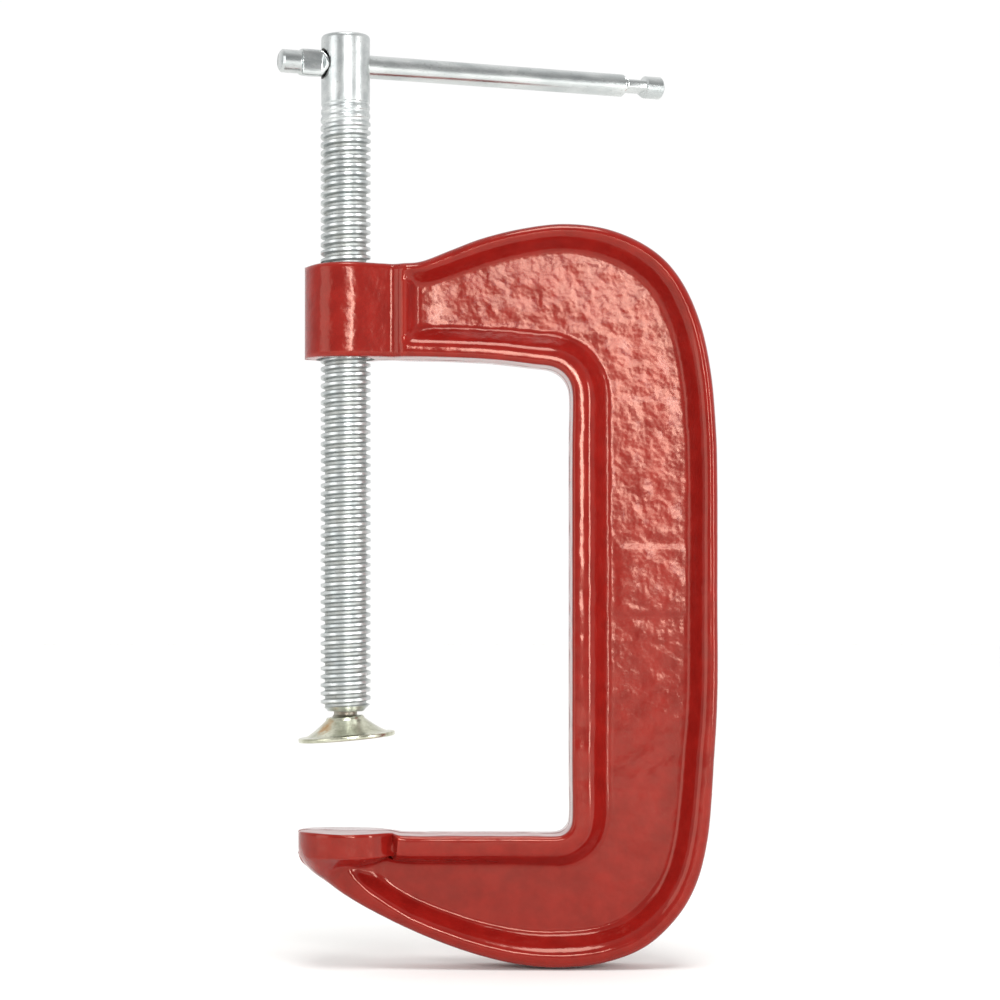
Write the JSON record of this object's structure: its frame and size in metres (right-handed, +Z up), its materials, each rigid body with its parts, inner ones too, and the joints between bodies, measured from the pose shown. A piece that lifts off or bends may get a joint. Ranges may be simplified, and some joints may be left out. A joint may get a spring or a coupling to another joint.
{
  "type": "c clamp",
  "caption": "C-shaped clamp with an I-section cast frame, a screw with a sliding cross bar and a swivelling pad facing a round anvil.",
  "frame": {"origin": "centre of the anvil's flat top face, on the screw's axis", "axes": "+X from the screw towards the spine, +Z up along the screw from the anvil to the boss, +Y completes a right-handed set; the frame's side view lies in the XZ plane"},
  "size_m": [0.1493, 0.0626, 0.3162],
  "materials": {
    "enamelled_iron": "gloss red enamel on a sand casting",
    "plated_screw": "bright zinc plate on a rolled thread",
    "plated_bar": "bright plated drawn rod",
    "plated_pad": "yellowish zinc plate"
  },
  "bodies": {
    "frame": {"frame_casting": "enamelled_iron"},
    "screw_end": {"spindle_ball_end": "plated_screw"},
    "screw": {"spindle": "plated_screw"},
    "bar": {"tommy_bar": "plated_bar"},
    "pad": {"swivel_pad": "plated_pad"}
  },
  "joints": [
    {"name": "screw_travel", "type": "slide", "parent": "frame", "child": "screw_end", "axis": [0, 0, 1], "range_m": [-0.0286, 0.119]},
    {"name": "screw_turn", "type": "hinge", "parent": "screw_end", "child": "screw", "pos_m": [0, 0, 0.0405], "axis": [0, 0, 1], "range_deg": [-3647.7, 15179]},
    {"name": "bar_slide", "type": "slide", "parent": "screw", "child": "bar", "axis": [0.9336, 0.3584, 0], "range_m": [-0.0955, 0]},
    {"name": "pad_tilt", "type": "hinge", "parent": "screw_end", "child": "pad", "pos_m": [0, 0, 0.036], "axis": [0, 1, 0], "range_deg": [-3, 13]}
  ],
  "couplings": [
    {"joint": "screw_travel", "follows": "screw_turn", "m_per_rad": 0.00044917}
  ]
}
